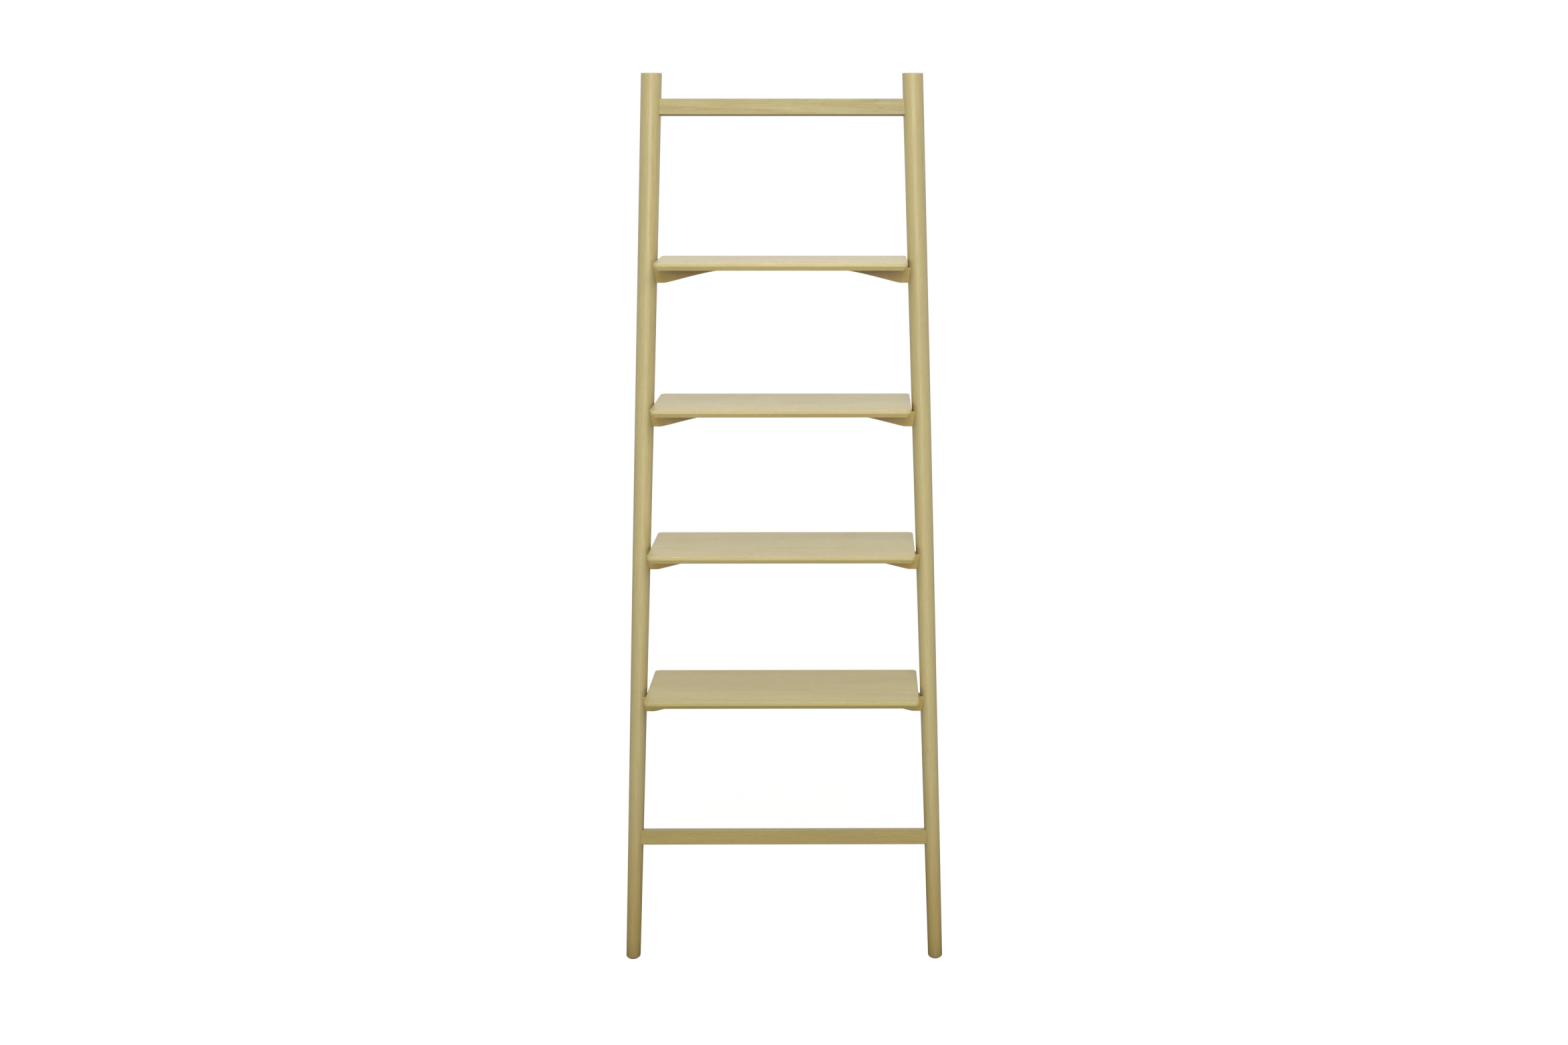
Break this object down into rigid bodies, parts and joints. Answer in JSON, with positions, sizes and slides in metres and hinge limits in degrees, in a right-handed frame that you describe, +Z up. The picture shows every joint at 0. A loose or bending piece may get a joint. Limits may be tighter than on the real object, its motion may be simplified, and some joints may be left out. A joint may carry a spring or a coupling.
{
  "type": "ladder shelf",
  "caption": "Leaning ladder shelf: round tapered splayed stiles, flat rails, and level boards with undercut edges on arched bearers.",
  "frame": {"origin": "middle of the footprint box, on the floor under the foot pads", "axes": "+Z up, +Y towards the wall that the ladder leans on, +X to the right seen from the front"},
  "size_m": [0.6602, 0.3866, 1.8],
  "materials": {
    "oak": "pale oak, satin oil, fine lengthwise grain",
    "dowel_beech": "bare beech, hidden in the joints",
    "pad_rubber": "dark matt rubber",
    "screw_zinc": "bright zinc plate"
  },
  "bodies": {
    "root": {"stile_left": "oak", "stile_right": "oak", "top_rail": "oak", "bottom_rail": "oak", "shelf_1": "oak", "shelf_2": "oak", "shelf_3": "oak", "shelf_4": "oak", "bearer_1": "oak", "bearer_2": "oak", "bearer_3": "oak", "bearer_4": "oak", "foot_pad_left": "pad_rubber", "foot_pad_right": "pad_rubber", "wall_pad_left": "pad_rubber", "wall_pad_right": "pad_rubber", "dowel_top_rail_left_lower": "dowel_beech", "dowel_top_rail_left_upper": "dowel_beech", "dowel_top_rail_right_lower": "dowel_beech", "dowel_top_rail_right_upper": "dowel_beech", "dowel_bottom_rail_left_lower": "dowel_beech", "dowel_bottom_rail_left_upper": "dowel_beech", "dowel_bottom_rail_right_lower": "dowel_beech", "dowel_bottom_rail_right_upper": "dowel_beech", "dowel_bearer_1_left_lower": "dowel_beech", "dowel_bearer_1_left_upper": "dowel_beech", "dowel_bearer_1_right_lower": "dowel_beech", "dowel_bearer_1_right_upper": "dowel_beech", "dowel_bearer_2_left_lower": "dowel_beech", "dowel_bearer_2_left_upper": "dowel_beech", "dowel_bearer_2_right_lower": "dowel_beech", "dowel_bearer_2_right_upper": "dowel_beech", "dowel_bearer_3_left_lower": "dowel_beech", "dowel_bearer_3_left_upper": "dowel_beech", "dowel_bearer_3_right_lower": "dowel_beech", "dowel_bearer_3_right_upper": "dowel_beech", "dowel_bearer_4_left_lower": "dowel_beech", "dowel_bearer_4_left_upper": "dowel_beech", "dowel_bearer_4_right_lower": "dowel_beech", "dowel_bearer_4_right_upper": "dowel_beech", "shelf_screw_1_left": "screw_zinc", "shelf_screw_1_middle": "screw_zinc", "shelf_screw_1_right": "screw_zinc", "shelf_screw_2_left": "screw_zinc", "shelf_screw_2_middle": "screw_zinc", "shelf_screw_2_right": "screw_zinc", "shelf_screw_3_left": "screw_zinc", "shelf_screw_3_middle": "screw_zinc", "shelf_screw_3_right": "screw_zinc", "shelf_screw_4_left": "screw_zinc", "shelf_screw_4_middle": "screw_zinc", "shelf_screw_4_right": "screw_zinc"}
  },
  "joints": []
}
